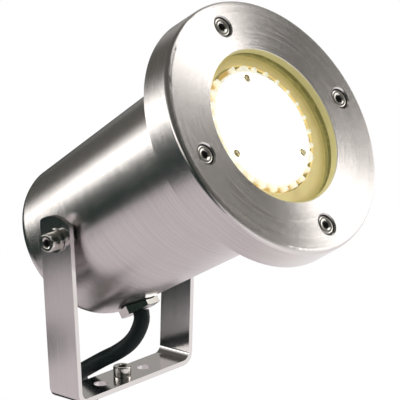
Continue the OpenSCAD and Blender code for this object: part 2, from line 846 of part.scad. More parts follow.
bracket();
base_screw();
pivot_screws();
pivot_washers();
friction_washers();
pivot_bosses();
can();
flange();
front_ring();
face_screws();
front_gasket();
glass();
rear_gasket();
lamp_plate();
lamp_heat_sink();
lamp_cover();
lamp_board();
lamp_chips();
lamp_screws();
lamp_base();
lamp_pins();
lampholder();
holder_strap();
strap_screws();
terminal_block();
terminal_screws();
lamp_leads();
cable_core_leads();
gland_body();
gland_washer();
gland_press_ring();
gland_seal();
gland_inner_washer();
gland_locknut();
cable_inside();
cable();
cable_coil();
cable_tie();
cable_cores();
cable_ferrules();
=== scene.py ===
"""Underwater pond light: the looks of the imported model, as an add-on that is run as a script."""

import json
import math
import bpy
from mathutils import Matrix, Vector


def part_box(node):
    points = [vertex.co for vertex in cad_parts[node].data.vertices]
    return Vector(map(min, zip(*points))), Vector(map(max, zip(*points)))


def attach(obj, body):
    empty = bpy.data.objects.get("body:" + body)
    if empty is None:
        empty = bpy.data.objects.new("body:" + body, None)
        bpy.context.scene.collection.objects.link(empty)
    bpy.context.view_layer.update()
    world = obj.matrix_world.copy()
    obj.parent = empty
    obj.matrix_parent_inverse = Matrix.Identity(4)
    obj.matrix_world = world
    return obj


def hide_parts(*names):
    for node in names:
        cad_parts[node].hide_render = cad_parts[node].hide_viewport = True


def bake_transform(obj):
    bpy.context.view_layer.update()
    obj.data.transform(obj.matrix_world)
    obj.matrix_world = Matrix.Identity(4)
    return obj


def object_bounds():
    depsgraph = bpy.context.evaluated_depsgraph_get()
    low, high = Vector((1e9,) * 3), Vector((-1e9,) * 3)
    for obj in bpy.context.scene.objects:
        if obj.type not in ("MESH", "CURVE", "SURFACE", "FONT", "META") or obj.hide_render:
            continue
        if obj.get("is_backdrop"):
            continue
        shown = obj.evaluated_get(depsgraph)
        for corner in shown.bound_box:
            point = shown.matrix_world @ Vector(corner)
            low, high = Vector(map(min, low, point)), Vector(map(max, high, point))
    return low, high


bl_info = {
    "name": "Underwater pond light",
    "version": (1, 0, 0),
    "blender": (4, 5, 0),
    "location": "View3D > Sidebar > Pond light",
    "description": "Finishes the pond light's metal, glass, lamp and cable, and sets its studio",
    "category": "Object",
}

import bmesh
import bpy
from mathutils import Matrix, Vector

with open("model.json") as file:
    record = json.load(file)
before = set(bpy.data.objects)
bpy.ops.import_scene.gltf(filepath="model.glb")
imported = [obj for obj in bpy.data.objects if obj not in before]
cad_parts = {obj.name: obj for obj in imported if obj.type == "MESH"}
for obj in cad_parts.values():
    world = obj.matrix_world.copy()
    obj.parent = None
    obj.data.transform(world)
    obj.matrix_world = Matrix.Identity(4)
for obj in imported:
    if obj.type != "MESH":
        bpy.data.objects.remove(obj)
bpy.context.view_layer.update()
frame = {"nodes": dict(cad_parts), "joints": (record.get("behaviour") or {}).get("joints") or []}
TILT = next(j for j in frame["joints"] if j["name"] == "head_tilt")
PIVOT = Vector(TILT["pos_m"])
MM = 0.001


def node_size(name, axis):
    """Length of a CAD node's box along one axis, in metres."""
    low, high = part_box(name)
    return high[axis] - low[axis]


def node_middle(name):
    """Middle of a CAD node's box."""
    low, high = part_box(name)
    return (Vector(low) + Vector(high)) / 2


# The head's own axes: x across, y up across the beam, z along the beam from the tilt axis
BEAM_TILT = math.radians(33)
BEAM = Vector((0, -math.cos(BEAM_TILT), math.sin(BEAM_TILT)))
HEAD = Matrix.Translation(PIVOT) @ Matrix.Rotation(math.pi / 2 - BEAM_TILT, 4, "X")

# Where finishes change, in metres: radii about the beam and places along it
OPENING_EDGE = (0.03010, 0.03050)
RING_FACE = (0.0885, 0.0903)
PLATE_SHADE = (0.0262, 0.0310)
FIN_TOPS = (0.0795, 0.0822)
COVER_EDGE = (0.0170, 0.0225)

# Screws: lengths under the head, and how far the ring's screw heads stand below its face
RING_SCREW_LONG = 8 * MM
TILT_SCREW_LONG = 10.5 * MM
FOOT_SCREW_LONG = 2 * MM
RING_SCREW_SUNK = 0.5 * MM
SCREW_SIDES = 48
THREAD_PITCH = 0.7 * MM
TURN_OF_FIRST_SOCKET = 0.3
TURN_BETWEEN_SOCKETS = 1.37


# ---------------------------------------------------------------- sizes and colours

class PondLightSettings(bpy.types.PropertyGroup):
    """What a user would change."""

    steel: bpy.props.FloatVectorProperty(
        name="Steel", description="Colour of the brushed stainless steel", subtype="COLOR",
        size=3, min=0, max=1, default=(0.74, 0.715, 0.715))
    polished: bpy.props.FloatVectorProperty(
        name="Polished steel", description="Colour of the screws and the gland", subtype="COLOR",
        size=3, min=0, max=1, default=(0.70, 0.685, 0.655))
    rubber: bpy.props.FloatVectorProperty(
        name="Rubber", description="Colour of the cable and the gaskets", subtype="COLOR",
        size=3, min=0, max=1, default=(0.004, 0.009, 0.009))
    gold: bpy.props.FloatVectorProperty(
        name="Lamp plate", description="Colour of the plate round the lamp", subtype="COLOR",
        size=3, min=0, max=1, default=(0.62, 0.50, 0.18))
    grain: bpy.props.FloatProperty(
        name="Brushing", description="Depth of the brush marks on the steel", subtype="FACTOR",
        min=0, max=1, default=0.5)
    glow: bpy.props.FloatProperty(
        name="Glow", description="How brightly the lamp's cover shines", min=0, max=5, default=1.6)
    screw_head: bpy.props.FloatProperty(
        name="Screw head", description="Diameter of the cap screws' heads", subtype="DISTANCE",
        unit="LENGTH", min=0.003, max=0.010, default=0.007)
    screw_thread: bpy.props.FloatProperty(
        name="Screw thread", description="Thread diameter and head height of the cap screws",
        subtype="DISTANCE", unit="LENGTH", min=0.002, max=0.006, default=0.004)
    cable_d: bpy.props.FloatProperty(
        name="Cable", description="Diameter of the cable", subtype="DISTANCE", unit="LENGTH",
        min=0.004, max=0.008, default=0.0062)
    cable_long: bpy.props.FloatProperty(
        name="Cable length", description="Length of the cable from the gland to its end",
        subtype="DISTANCE", unit="LENGTH", min=0.5, max=3, default=1.5)
    view_turn: bpy.props.FloatProperty(
        name="View turn", description="Direction that the camera looks from, about the vertical",
        subtype="ANGLE", default=math.radians(-49.85))
    view_rise: bpy.props.FloatProperty(
        name="View rise", description="Height of the camera above the horizon, as an angle",
        subtype="ANGLE", default=math.radians(15.84))
    view_roll: bpy.props.FloatProperty(
        name="View roll", description="Turn of the camera about its own axis",
        subtype="ANGLE", default=math.radians(-0.43))
    view_far: bpy.props.FloatProperty(
        name="View distance", description="Distance of the camera from the aim point",
        subtype="DISTANCE", unit="LENGTH", min=0.2, max=5, default=1.0818)
    lens: bpy.props.FloatProperty(
        name="Lens", description="Focal length in millimetres", min=20, max=600, default=261.6)


def settings():
    """The values that the panel shows."""
    return bpy.context.scene.pond_light


# ---------------------------------------------------------------- shader maths

class Wire:
    """One output socket, with arithmetic that adds Math nodes."""

    def __init__(self, finish, socket):
        self.finish = finish
        self.socket = socket

    def maths(self, kind, *values):
        """One Math node, with this wire as its first value."""
        return self.finish.add("ShaderNodeMath", {"operation": kind}, dict(enumerate((self,) + values)))

    def __add__(self, other):
        return self.maths("ADD", other)

    __radd__ = __add__

    def __mul__(self, other):
        return self.maths("MULTIPLY", other)

    __rmul__ = __mul__

    def __sub__(self, other):
        return self.maths("SUBTRACT", other)

    def __rsub__(self, other):
        return self.maths("MULTIPLY", -1).maths("ADD", other)

    def __truediv__(self, other):
        return self.maths("DIVIDE", other)

    def __pow__(self, other):
        return self.maths("POWER", other)

    def clipped(self):
        """Kept between 0 and 1."""
        return self.finish.add("ShaderNodeClamp", {}, {0: self})

    def between(self, low, high, start=0.0, end=1.0):
        """start below low, end above high, and smooth in between."""
        return self.finish.add("ShaderNodeMapRange", {"interpolation_type": "SMOOTHSTEP"},
                               {"Value": self, "From Min": low, "From Max": high,
                                "To Min": start, "To Max": end})


class Finish:
    """A material, or the world, being made."""

    def __init__(self, name=None, world=None):
        self.material = world or bpy.data.materials.new(name)
        self.material.use_nodes = True
        self.tree = self.material.node_tree
        self.tree.nodes.clear()

    def add(self, kind, options, values, output=0):
        """Adds a node with its settings and the values or wires of its sockets."""
        node = self.tree.nodes.new(kind)
        for key, value in options.items():
            setattr(node, key, value)
        for key, value in values.items():
            if isinstance(value, Wire):
                self.tree.links.new(value.socket, node.inputs[key])
            else:
                node.inputs[key].default_value = value
        return Wire(self, node.outputs[output])

    def blend(self, factor, a, b):
        """Mixes two colours."""
        return self.add("ShaderNodeMix", {"data_type": "RGBA"},
                        {"Factor": factor, "A": a, "B": b}, output="Result")

    def noise(self, vector, scale, detail=2.0, rough=0.5):
        """Smooth noise from 0 to 1."""
        return self.add("ShaderNodeTexNoise", {}, {"Vector": vector, "Scale": scale, "Detail": detail,
                                                   "Roughness": rough}, output="Fac")

    def lobe(self, way, towards, edge, full):
        """A round soft light in the world, about one direction."""
        near = self.add("ShaderNodeVectorMath", {"operation": "DOT_PRODUCT"}, {0: way, 1: towards},
                        output="Value")
        return near.between(edge, full)

    def grain(self, vector, across):
        """Depth of the brush marks: most are finer than can be seen, and a few show."""
        hidden = self.add("ShaderNodeTexWhiteNoise", {"noise_dimensions": "1D"}, {"W": across * 100000},
                          output="Value")
        return 0.5 + (hidden - 0.5) * 0.42 + (self.noise(vector, 1.0, 1.0) - 0.5) * 0.25

    def place(self):
        """Place in the model's own axes."""
        return self.add("ShaderNodeTexCoord", {}, {}, output="Object")

    def head_place(self):
        """Place in the head's own axes: x across, y up across the beam, z along the beam."""
        return self.add("ShaderNodeMapping", {"vector_type": "TEXTURE"},
                        {"Vector": self.place(), "Location": PIVOT,
                         "Rotation": (math.pi / 2 - BEAM_TILT, 0, 0)})

    def parts(self, vector):
        """The x, y and z of a vector."""
        wire = self.add("ShaderNodeSeparateXYZ", {}, {"Vector": vector})
        return [Wire(self, out) for out in wire.socket.node.outputs]

    def vector(self, x, y, z):
        """A vector of three values or wires."""
        return self.add("ShaderNodeCombineXYZ", {}, {"X": x, "Y": y, "Z": z})

    def radial(self, x, y):
        """Direction away from the beam, in the model's own axes."""
        length = (x * x + y * y) ** 0.5 + 0.000001
        across = x / length
        up = y / length
        return self.vector(across, up * math.sin(BEAM_TILT), up * math.cos(BEAM_TILT))

    def brushed(self, grain, towards, spread):
        """Normal leant by the grain, and only along one direction, as brush marks lean it."""
        geometry = self.add("ShaderNodeNewGeometry", {}, {}, output="Normal")
        line = self.add("ShaderNodeVectorTransform",
                        {"vector_type": "VECTOR", "convert_from": "OBJECT", "convert_to": "WORLD"},
                        {"Vector": towards})
        lean = (grain - 0.5) * spread
        moved = self.add("ShaderNodeVectorMath", {"operation": "SCALE"}, {0: line, "Scale": lean})
        summed = self.add("ShaderNodeVectorMath", {"operation": "ADD"}, {0: geometry, 1: moved})
        return self.add("ShaderNodeVectorMath", {"operation": "NORMALIZE"}, {0: summed})

    def bump(self, height, strength, distance):
        """Normal leant by a height."""
        return self.add("ShaderNodeBump", {}, {"Height": height, "Strength": strength,
                                               "Distance": distance})

    def surface(self, **values):
        """Ends the material in a Principled surface."""
        sockets = {key.replace("_", " "): value for key, value in values.items()}
        shader = self.add("ShaderNodeBsdfPrincipled", {}, sockets)
        self.add_output(shader)
        return self.material

    def add_output(self, shader):
        """Ends the material, or the world, in a shader."""
        is_world = isinstance(self.material, bpy.types.World)
        kind = "ShaderNodeOutputWorld" if is_world else "ShaderNodeOutputMaterial"
        node = self.tree.nodes.new(kind)
        self.tree.links.new(shader.socket, node.inputs["Surface"])


def colour(rgb, share=1.0):
    """Four values for a colour socket, with the colour made darker or paler by a share."""
    return (rgb[0] * share, rgb[1] * share, rgb[2] * share, 1)


# ---------------------------------------------------------------- finishes

def steel_surface(finish, streaks, blotches, normal, rough=0.16, inside=0.0):
    """Brushed stainless steel: fine streaks over slow changes of tone, with a few stains.

    inside is the share of each point that the lamp's own light reaches and tints.
    """
    base = settings().steel
    tone = finish.blend(streaks.between(0.3, 0.7), colour(base, 0.95), colour(base, 1.03))
    stained = finish.blend(blotches.between(0.55, 0.8, 0, 0.30), tone, colour((0.62, 0.57, 0.50)))
    tinted = finish.blend(inside, stained, colour((0.40, 0.36, 0.17)))
    glow = finish.blend(inside, (0, 0, 0, 1), colour((0.17, 0.15, 0.06)))
    return finish.surface(
        Base_Color=tinted, Metallic=1.0 - 0.7 * inside,
        Roughness=(rough + 0.08 * streaks + 0.08 * blotches + 0.3 * inside).clipped(),
        Emission_Color=glow, Emission_Strength=1.0, Normal=normal)


def head_marks(finish, place, stretch):
    """Brush marks in circles about the beam: fine for the shine and coarse for the tone."""
    x, y, z = finish.parts(place)
    radius = (x * x + y * y) ** 0.5
    fine = finish.grain(finish.vector(radius * 3000, z * 3000, (x + y) * stretch), radius + z)
    coarse = finish.noise(finish.vector(radius * 1500, z * 1500, (x - y) * 20), 1.0, 2.0)
    return x, y, z, radius, fine, coarse


def can_steel():
    """The can's satin steel, brushed round it, and lit gold within by the lamp."""
    finish = Finish("can_steel")
    place = finish.head_place()
    x, y, _, _, fine, coarse = head_marks(finish, place, 120)
    blotches = finish.noise(place, 26, 3.0)
    geometry = finish.add("ShaderNodeTexCoord", {}, {}, output="Normal")
    outward = finish.add("ShaderNodeVectorMath", {"operation": "DOT_PRODUCT"},
                         {0: geometry, 1: finish.radial(x, y)}, output="Value")
    inside = outward.between(-0.6, -0.3, 1, 0)
    along = finish.vector(*BEAM)
    normal = finish.brushed(fine, along, 0.45 * settings().grain)
    return steel_surface(finish, coarse, blotches, normal, inside=inside)


def ring_steel():
    """The front ring's steel, brushed in circles, with the lamp's gold light on its inner edge."""
    finish = Finish("ring_steel")
    place = finish.head_place()
    x, y, z, radius, fine, coarse = head_marks(finish, place, 160)
    blotches = finish.noise(place, 22, 3.0)
    inside = radius.between(*OPENING_EDGE, 1, 0)
    face = z.between(*RING_FACE)
    outward = finish.radial(x, y)
    along = finish.vector(*BEAM)
    line = finish.add("ShaderNodeMix", {"data_type": "VECTOR"}, {4: along, 5: outward, 0: face},
                      output=1)
    normal = finish.brushed(fine, line, (0.5 + 2.9 * face) * settings().grain)
    return steel_surface(finish, coarse, blotches, normal, inside=inside)


def strip_steel():
    """The bracket's strip, brushed along its length, more polished than the head."""
    finish = Finish("strip_steel")
    place = finish.place()
    x, y, z = finish.parts(place)
    fine = finish.grain(finish.vector((x + z) * 30, y * 3000, (x - z) * 30), y)
    coarse = finish.noise(finish.vector((x + z) * 14, y * 1500, (x - z) * 14), 1.0, 2.0)
    blotches = finish.noise(place, 30, 3.0)
    normal = finish.brushed(fine, finish.vector(0.0, 1.0, 0.0), 0.3 * settings().grain)
    return steel_surface(finish, 0.35 + 0.3 * coarse, blotches, normal, rough=0.065)


def inner_steel():
    """Plain satin steel of the parts inside and behind."""
    finish = Finish("inner_steel")
    place = finish.place()
    cloud = finish.noise(place, 120, 4.0)
    fine = finish.noise(place, 2600, 2.0)
    tone = finish.blend(cloud, colour(settings().steel, 0.7), colour(settings().steel, 0.9))
    return finish.surface(Base_Color=tone, Metallic=1.0, Roughness=0.35 + 0.2 * cloud,
                          Normal=finish.bump(fine, 0.15, 0.00005))


def polished_steel():
    """Turned and polished screws, washers and gland."""
    finish = Finish("polished_steel")
    place = finish.place()
    cloud = finish.noise(place, 240, 3.0)
    marks = finish.noise(place, 1900, 3.0, 0.7)
    tone = finish.blend(cloud, colour(settings().polished, 0.88), colour(settings().polished, 1.05))
    return finish.surface(Base_Color=tone, Metallic=1.0, Roughness=0.12 + 0.14 * cloud,
                          Normal=finish.bump(marks, 0.12, 0.00004))


def socket_steel():
    """Bottom of a screw's socket, painted dark as the shade deep in the recess."""
    finish = Finish("socket_steel")
    cloud = finish.noise(finish.place(), 900, 3.0)
    tone = finish.blend(cloud, colour((0.05, 0.05, 0.05)), colour((0.14, 0.13, 0.12)))
    return finish.surface(Base_Color=tone, Metallic=0.8, Roughness=0.45 + 0.2 * cloud)


def rubber(name, scale, sheen_rough):
    """Black rubber with a fine grain."""
    finish = Finish(name)
    place = finish.place()
    cloud = finish.noise(place, 60, 4.0)
    grain = finish.noise(place, scale, 3.0, 0.7)
    tone = finish.blend(cloud, colour(settings().rubber, 0.6), colour(settings().rubber, 1.3))
    return finish.surface(Base_Color=tone, Roughness=(sheen_rough + 0.18 * cloud + 0.08 * grain).clipped(),
                          Specular_IOR_Level=0.18, Normal=finish.bump(grain, 0.25, 0.00006))


def silicone():
    """Olive silicone of the gaskets either side of the glass, lit by the lamp."""
    finish = Finish("silicone")
    place = finish.head_place()
    cloud = finish.noise(place, 150, 3.0)
    tone = finish.blend(cloud, colour((0.20, 0.18, 0.055)), colour((0.34, 0.31, 0.12)))
    return finish.surface(Base_Color=tone, Roughness=0.4 + 0.2 * cloud, Emission_Color=tone,
                          Emission_Strength=0.35)


def clear_glass():
    """Clear front glass with faint wipe marks."""
    finish = Finish("clear_glass")
    wipes = finish.noise(finish.head_place(), 18, 3.0)
    return finish.surface(Base_Color=(0.97, 0.99, 0.98, 1), Roughness=0.02 * wipes,
                          IOR=1.45, Transmission_Weight=1.0)


def lamp_plate_finish():
    """Pale gold chromate, lit by the lamp, darker towards the rim."""
    finish = Finish("lamp_plate_gold")
    place = finish.head_place()
    x, y, _ = finish.parts(place)
    radius = (x * x + y * y) ** 0.5
    shade = radius.between(*PLATE_SHADE)
    cloud = finish.noise(place, 90, 3.0)
    lit = finish.blend(shade, colour((0.90, 0.74, 0.36)), colour(settings().gold))
    tone = finish.blend(cloud.between(0.4, 0.75, 0, 0.5), lit, colour((0.60, 0.47, 0.20)))
    return finish.surface(Base_Color=tone, Metallic=0.35, Roughness=0.38 + 0.15 * cloud,
                          Emission_Color=tone, Emission_Strength=0.34)


def cast_aluminium():
    """The lamp's cast fins, lit by it: gold low down and nearly white at their tops."""
    finish = Finish("cast_aluminium")
    place = finish.head_place()
    grain = finish.noise(place, 1500, 3.0, 0.7)
    cloud = finish.noise(place, 140, 3.0)
    top = finish.parts(place)[2].between(*FIN_TOPS)
    white = finish.blend(cloud, colour((0.93, 0.88, 0.72)), colour((1.0, 0.98, 0.93)))
    tone = finish.blend(top, colour((0.62, 0.46, 0.17)), white)
    return finish.surface(Base_Color=tone, Metallic=0.5, Roughness=0.42 + 0.2 * cloud,
                          Emission_Color=tone, Emission_Strength=0.62,
                          Normal=finish.bump(grain, 0.3, 0.00008))


def lit_cover():
    """White cover with the light of three chips behind it."""
    finish = Finish("lit_cover")
    place = finish.head_place()
    x, y, _ = finish.parts(place)
    radius = (x * x + y * y) ** 0.5
    edge = radius.between(*COVER_EDGE)
    tone = finish.blend(edge, colour((1.0, 1.0, 1.0)), colour((0.96, 0.95, 0.90)))
    ripple = finish.noise(place, 700, 2.0)
    return finish.surface(Base_Color=tone, Roughness=0.35 + 0.1 * ripple, Emission_Color=tone,
                          Emission_Strength=settings().glow, Normal=finish.bump(ripple, 0.1, 0.00005))


def lamp_screw_finish():
    """Small screws of the lamp's cover, lit by it."""
    finish = Finish("lamp_screw")
    cloud = finish.noise(finish.head_place(), 1100, 2.0)
    tone = finish.blend(cloud.between(0.4, 0.6), colour((0.22, 0.17, 0.07)), colour((0.80, 0.70, 0.45)))
    return finish.surface(Base_Color=tone, Metallic=0.5, Roughness=0.3 + 0.2 * cloud,
                          Emission_Color=tone, Emission_Strength=0.35)


def plastic(name, dark, pale, rough=0.35):
    """Moulded plastic or ceramic between two tones."""
    finish = Finish(name)
    place = finish.place()
    cloud = finish.noise(place, 130, 3.0)
    grain = finish.noise(place, 2400, 2.0)
    tone = finish.blend(cloud, colour(dark), colour(pale))
    return finish.surface(Base_Color=tone, Roughness=rough + 0.15 * cloud,
                          Normal=finish.bump(grain, 0.12, 0.00004))


def paint_node(name, material):
    """Gives a CAD node its finish."""
    piece = frame["nodes"][name]
    piece.data.materials.clear()
    piece.data.materials.append(material)


# ---------------------------------------------------------------- mesh helpers

def new_piece(name, mesh, material):
    """Links a mesh as an object."""
    piece = bpy.data.objects.new(name, mesh)
    bpy.context.collection.objects.link(piece)
    mesh.materials.append(material)
    return piece


def smooth(mesh, angle=40):
    """Smooth faces, with edges sharper than angle kept sharp."""
    bm = bmesh.new()
    bm.from_mesh(mesh)
    for face in bm.faces:
        face.smooth = True
    for edge in bm.edges:
        if len(edge.link_faces) == 2 and edge.calc_face_angle() > math.radians(angle):
            edge.smooth = False
    bm.to_mesh(mesh)
    bm.free()


def arc(centre, radius, start, end, steps):
    """Points of an arc in the plane of a profile; angles in degrees."""
    return [(centre[0] + radius * math.cos(math.radians(start + (end - start) * k / steps)),
             centre[1] + radius * math.sin(math.radians(start + (end - start) * k / steps)))
            for k in range(steps + 1)]


def add_ring(bm, shape, z, sides):
    """One closed ring of vertices; shape gives the radius at an angle."""
    return [bm.verts.new((shape(a) * math.cos(a), shape(a) * math.sin(a), z))
            for a in (math.tau * k / sides for k in range(sides))]


def join_rings(bm, lower, upper, slot=0):
    """Faces between two rings of as many vertices."""
    sides = len(lower)
    for k in range(sides):
        m = (k + 1) % sides
        bm.faces.new((lower[k], lower[m], upper[m], upper[k])).material_index = slot


def hexagon_radius(across):
    """Radius of a hexagon of that size across its flats, as a function of the angle."""
    def radius(angle):
        turn = (angle + math.pi / 6) % (math.pi / 3) - math.pi / 6
        return across / 2 / math.cos(turn)
    return radius


def round_radius(radius):
    """The same radius at every angle."""
    return lambda angle: radius


def cap_screw_mesh(long):
    """Socket cap screw with rounded edges, a countersunk hexagon socket and a threaded shank."""
    s = settings()
    head = s.screw_head / 2
    thread = s.screw_thread / 2
    high = s.screw_thread
    across = s.screw_thread * 0.75
    tip_edge = 0.3 * MM
    lower_edge = 0.25 * MM
    upper_edge = 0.5 * MM
    bm = bmesh.new()
    outline = [(thread * 0.8, -long), (thread * 0.97, -long + tip_edge)]
    turns = max(0, int((long - 1.2 * MM) / THREAD_PITCH))
    for k in range(turns):
        z = -long + 0.4 * MM + k * THREAD_PITCH
        outline += [(thread * 0.86, z), (thread * 0.995, z + THREAD_PITCH / 2)]
    outline += [(thread * 0.98, -0.2 * MM), (thread * 0.98, 0.0)]
    outline += arc((head - lower_edge, lower_edge), lower_edge, -90, 0, 3)
    outline += arc((head - upper_edge, high - upper_edge), upper_edge, 0, 90, 5)
    outline += [(across / 2 * 1.38, high), (across / 2 * 1.30, high - 0.04 * MM)]
    rings = [add_ring(bm, round_radius(r), z, SCREW_SIDES) for r, z in outline]
    for a, b in zip(rings, rings[1:]):
        join_rings(bm, a, b)
    hexagon = hexagon_radius(across)
    mouth = add_ring(bm, hexagon, high - 0.3 * MM, SCREW_SIDES)
    join_rings(bm, rings[-1], mouth)
    floor = add_ring(bm, hexagon, high - s.screw_thread * 0.55, SCREW_SIDES)
    join_rings(bm, mouth, floor, 1)
    inner = add_ring(bm, round_radius(across * 0.22), high - s.screw_thread * 0.62, SCREW_SIDES)
    join_rings(bm, floor, inner, 1)
    bm.faces.new(inner).material_index = 1
    bm.faces.new(list(reversed(rings[0])))
    bmesh.ops.recalc_face_normals(bm, faces=bm.faces)
    mesh = bpy.data.meshes.new("cap_screw")
    bm.to_mesh(mesh)
    bm.free()
    smooth(mesh, 35)
    return mesh


class Tree:
    """A Geometry Nodes tree being made."""

    def __init__(self, name):
        self.group = bpy.data.node_groups.new(name, "GeometryNodeTree")
        self.group.is_modifier = True
        self.group.interface.new_socket("Geometry", in_out="OUTPUT", socket_type="NodeSocketGeometry")
        self.inputs = {}
        self.given = self.group.nodes.new("NodeGroupInput")
        self.result = self.group.nodes.new("NodeGroupOutput")

    def input(self, name, kind, default=None):
        """Adds an input of the tree."""
        item = self.group.interface.new_socket(name, in_out="INPUT", socket_type=kind)
        if default is not None:
            item.default_value = default
        self.inputs[name] = item.identifier
        return self.given.outputs[name]

    def add(self, kind, options, links, output=0):
        """Adds a node with its settings and the values or sockets of its inputs."""
        node = self.group.nodes.new(kind)
        for key, value in options.items():
            setattr(node, key, value)
        for key, value in links.items():
            if isinstance(value, bpy.types.NodeSocket):
                self.group.links.new(value, node.inputs[key])
            else:
                node.inputs[key].default_value = value
        return node.outputs[output]

    def end(self, geometry):
        """Gives the tree its result."""
        self.group.links.new(geometry, self.result.inputs[0])


def circle_of_screws_tree():
    """Copies one screw to evenly spaced places round a circle, leaning outward by a set angle."""
    tree = Tree("circle_of_screws")
    screw = tree.input("Screw", "NodeSocketObject")
    count = tree.input("Count", "NodeSocketInt", 4)
    radius = tree.input("Radius", "NodeSocketFloat", 0.04)
    seat = tree.input("Seat", "NodeSocketFloat", 0.0)
    turn = tree.input("Turn", "NodeSocketFloat", 0.0)
    lean = tree.input("Lean", "NodeSocketFloat", 0.0)
    spin = tree.input("Spin", "NodeSocketFloat", TURN_OF_FIRST_SOCKET)
    steel = tree.input("Steel", "NodeSocketMaterial")
    dark = tree.input("Socket", "NodeSocketMaterial")
    points = tree.add("GeometryNodePoints", {}, {"Count": count, "Radius": 0.001})
    index = tree.add("GeometryNodeInputIndex", {}, {})
    share = tree.add("ShaderNodeMath", {"operation": "DIVIDE"}, {0: index, 1: count})
    around = tree.add("ShaderNodeMath", {"operation": "MULTIPLY_ADD"}, {0: share, 1: math.tau, 2: turn})
    cosine = tree.add("ShaderNodeMath", {"operation": "COSINE"}, {0: around})
    sine = tree.add("ShaderNodeMath", {"operation": "SINE"}, {0: around})
    x = tree.add("ShaderNodeMath", {"operation": "MULTIPLY"}, {0: cosine, 1: radius})
    y = tree.add("ShaderNodeMath", {"operation": "MULTIPLY"}, {0: sine, 1: radius})
    spot = tree.add("ShaderNodeCombineXYZ", {}, {"X": x, "Y": y, "Z": seat})
    placed = tree.add("GeometryNodeSetPosition", {}, {"Geometry": points, "Position": spot})
    twist = tree.add("ShaderNodeMath", {"operation": "MULTIPLY"}, {0: index, 1: TURN_BETWEEN_SOCKETS})
    own = tree.add("ShaderNodeMath", {"operation": "ADD"}, {0: twist, 1: spin})
    angles = tree.add("ShaderNodeCombineXYZ", {}, {"X": 0.0, "Y": lean, "Z": around})
    shape = tree.add("GeometryNodeObjectInfo", {}, {"Object": screw}, output="Geometry")
    own_angles = tree.add("ShaderNodeCombineXYZ", {}, {"Z": own})
    copies = tree.add("GeometryNodeInstanceOnPoints", {},
                      {"Points": placed, "Instance": shape, "Rotation": angles})
    spun = tree.add("GeometryNodeRotateInstances", {},
                    {"Instances": copies, "Rotation": own_angles})
    real = tree.add("GeometryNodeRealizeInstances", {}, {"Geometry": spun})
    slot = tree.add("GeometryNodeInputMaterialIndex", {}, {})
    deep = tree.add("FunctionNodeCompare", {"data_type": "INT", "operation": "EQUAL"}, {2: slot, 3: 1})
    dark_set = tree.add("GeometryNodeSetMaterial", {},
                        {"Geometry": real, "Selection": deep, "Material": dark})
    rest = tree.add("FunctionNodeBooleanMath", {"operation": "NOT"}, {0: deep})
    done = tree.add("GeometryNodeSetMaterial", {},
                    {"Geometry": dark_set, "Selection": rest, "Material": steel})
    tree.end(done)
    return tree


def plain_mesh(piece, name, matrix):
    """The evaluated piece as a plain mesh with its place applied."""
    graph = bpy.context.evaluated_depsgraph_get()
    mesh = bpy.data.meshes.new_from_object(piece.evaluated_get(graph))
    mesh.name = name
    mesh.transform(matrix)
    bpy.data.objects.remove(piece)
    result = bpy.data.objects.new(name, mesh)
    bpy.context.collection.objects.link(result)
    return result


def make_screws(name, long, count, radius, seat, turn, lean, matrix, replaced, body):
    """Screws round a circle, in place of a CAD node."""
    model = bpy.data.objects.new(name + "_model", cap_screw_mesh(long))
    model.data.materials.append(finishes()["polished"])
    model.data.materials.append(finishes()["socket"])
    bpy.context.collection.objects.link(model)
    tree = circle_of_screws_tree()
    carrier = bpy.data.objects.new(name + "_carrier", bpy.data.meshes.new(name))
    bpy.context.collection.objects.link(carrier)
    modifier = carrier.modifiers.new("screws", "NODES")
    modifier.node_group = tree.group
    values = {"Screw": model, "Count": count, "Radius": radius, "Seat": seat, "Turn": turn,
              "Lean": lean, "Steel": finishes()["polished"], "Socket": finishes()["socket"]}
    for key, value in values.items():
        modifier[tree.inputs[key]] = value
    piece = plain_mesh(carrier, name, matrix)
    bpy.data.objects.remove(model)
    smooth(piece.data, 35)
    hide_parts(replaced)
    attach(piece, body)
    return piece


FINISHES = {}


def finishes():
    """All finishes, made once."""
    if not FINISHES:
        FINISHES.update({
            "can": can_steel(),
            "ring": ring_steel(),
            "silicone": silicone(),
            "strip": strip_steel(),
            "inner": inner_steel(),
            "polished": polished_steel(),
            "socket": socket_steel(),
            "gasket": rubber("gasket_rubber", 900, 0.55),
            "cable": rubber("cable_rubber", 1400, 0.34),
            "glass": clear_glass(),
            "plate": lamp_plate_finish(),
            "cast": cast_aluminium(),
            "cover": lit_cover(),
            "white": plastic("white_plastic", (0.82, 0.82, 0.79), (0.93, 0.93, 0.91)),
            "ceramic": plastic("ceramic", (0.74, 0.71, 0.63), (0.90, 0.87, 0.80), 0.2),
            "phosphor": plastic("phosphor", (0.88, 0.72, 0.20), (0.96, 0.84, 0.32), 0.5),
            "dark": lamp_screw_finish(),
            "brown": plastic("brown_core", (0.16, 0.06, 0.02), (0.28, 0.12, 0.05)),
            "tie": plastic("tie_nylon", (0.012, 0.012, 0.012), (0.04, 0.04, 0.04), 0.4),
        })
    return FINISHES


